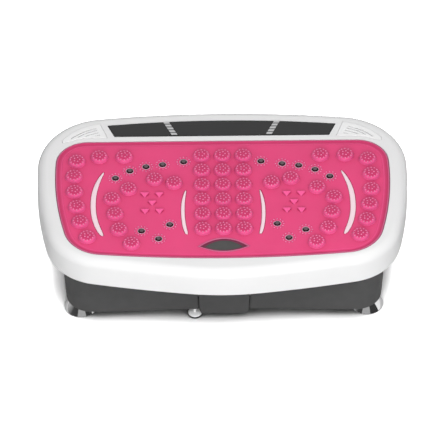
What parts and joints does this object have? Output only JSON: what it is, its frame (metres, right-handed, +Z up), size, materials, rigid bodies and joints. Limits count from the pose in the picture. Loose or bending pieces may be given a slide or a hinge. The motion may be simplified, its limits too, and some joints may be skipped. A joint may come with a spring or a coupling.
{
  "type": "vibration plate",
  "caption": "Slim oscillating vibration plate: a white deck with a pink nubbed massage mat and rear touch panel rocks on a dark base with chrome suction feet, driven by a belt and crank inside.",
  "frame": {"origin": "middle of the footprint, on the floor", "axes": "+X to the right of a person facing the front, +Y to the back edge with the control panel, +Z up"},
  "size_m": [0.5354, 0.3364, 0.134],
  "materials": {
    "white_casing": "satin white",
    "pink_mat": "soft pink silicone",
    "dark_base": "fine texture",
    "chrome": "polished",
    "black_rubber": "matte",
    "light_foot": "satin light grey",
    "steel": "bright zinc",
    "painted_steel": "grey paint",
    "bearing_bronze": "sintered",
    "gloss_panel": "gloss",
    "silver_trim": "striped silver",
    "magnet_steel": "dark nickel",
    "circuit_board": "solder mask",
    "copper_coil": "enamelled wire and core",
    "switch_red": "gloss red"
  },
  "bodies": {
    "base": {"base_tray": "dark_base", "front_cover": "dark_base", "chassis_plate": "steel", "foot_bell_fl": "chrome", "foot_bell_fr": "chrome", "foot_bell_bl": "chrome", "foot_bell_br": "chrome", "suction_cup_fl": "black_rubber", "suction_cup_fr": "black_rubber", "suction_cup_bl": "black_rubber", "suction_cup_br": "black_rubber", "foot_bolts": "steel", "front_foot": "light_foot", "front_foot_sole": "black_rubber", "pivot_block_front": "painted_steel", "pivot_block_rear": "painted_steel", "pivot_shaft": "steel", "motor_can": "painted_steel", "motor_end_bell": "steel", "motor_bracket": "painted_steel", "crank_block_front": "painted_steel", "crank_block_rear": "painted_steel", "crank_bearing_front": "steel", "crank_bearing_rear": "steel", "drive_belt": "black_rubber", "power_board": "circuit_board", "transformer": "copper_coil", "inlet_socket": "dark_base", "inlet_pins": "bearing_bronze", "switch_bezel": "dark_base", "bump_stops": "black_rubber", "base_screws": "steel"},
    "deck": {"top_casing": "white_casing", "deck_frame": "painted_steel", "massage_mat": "pink_mat", "magnets": "magnet_steel", "sensor_window": "gloss_panel", "control_panel": "gloss_panel", "divider_left": "silver_trim", "divider_right": "silver_trim", "grille_left": "white_casing", "grille_right": "white_casing", "speaker_left": "dark_base", "speaker_right": "dark_base", "display_board": "circuit_board", "pivot_lug_front": "painted_steel", "pivot_lug_rear": "painted_steel", "pivot_bush_front": "bearing_bronze", "pivot_bush_rear": "bearing_bronze", "rod_bracket": "painted_steel", "wrist_pin": "steel", "deck_screws": "steel"},
    "crank": {"crankshaft": "steel", "crank_pulley": "steel"},
    "rotor": {"motor_shaft": "steel", "motor_pulley": "steel"},
    "rod": {"connecting_rod": "steel", "rod_bearing": "steel"},
    "rocker": {"switch_rocker": "switch_red"}
  },
  "joints": [
    {"name": "deck_rock", "type": "hinge", "parent": "base", "child": "deck", "pos_m": [0, 0, 0.07], "axis": [0, 1, 0], "range_deg": [-1.15, 1.15]},
    {"name": "crank_spin", "type": "hinge", "parent": "base", "child": "crank", "pos_m": [0.15, 0, 0.058], "axis": [0, 1, 0], "continuous": true},
    {"name": "motor_spin", "type": "hinge", "parent": "base", "child": "rotor", "pos_m": [0.066, 0, 0.056], "axis": [0, 1, 0], "continuous": true},
    {"name": "rod_turn", "type": "hinge", "parent": "crank", "child": "rod", "pos_m": [0.153, 0, 0.058], "axis": [0, 1, 0], "continuous": true},
    {"name": "switch_tilt", "type": "hinge", "parent": "base", "child": "rocker", "pos_m": [-0.07, 0.128, 0.052], "axis": [1, 0, 0], "range_deg": [-16, 0]}
  ],
  "couplings": [
    {"joint": "motor_spin", "follows": "crank_spin", "ratio": 3},
    {"joint": "rod_turn", "follows": "crank_spin", "ratio": -1}
  ]
}
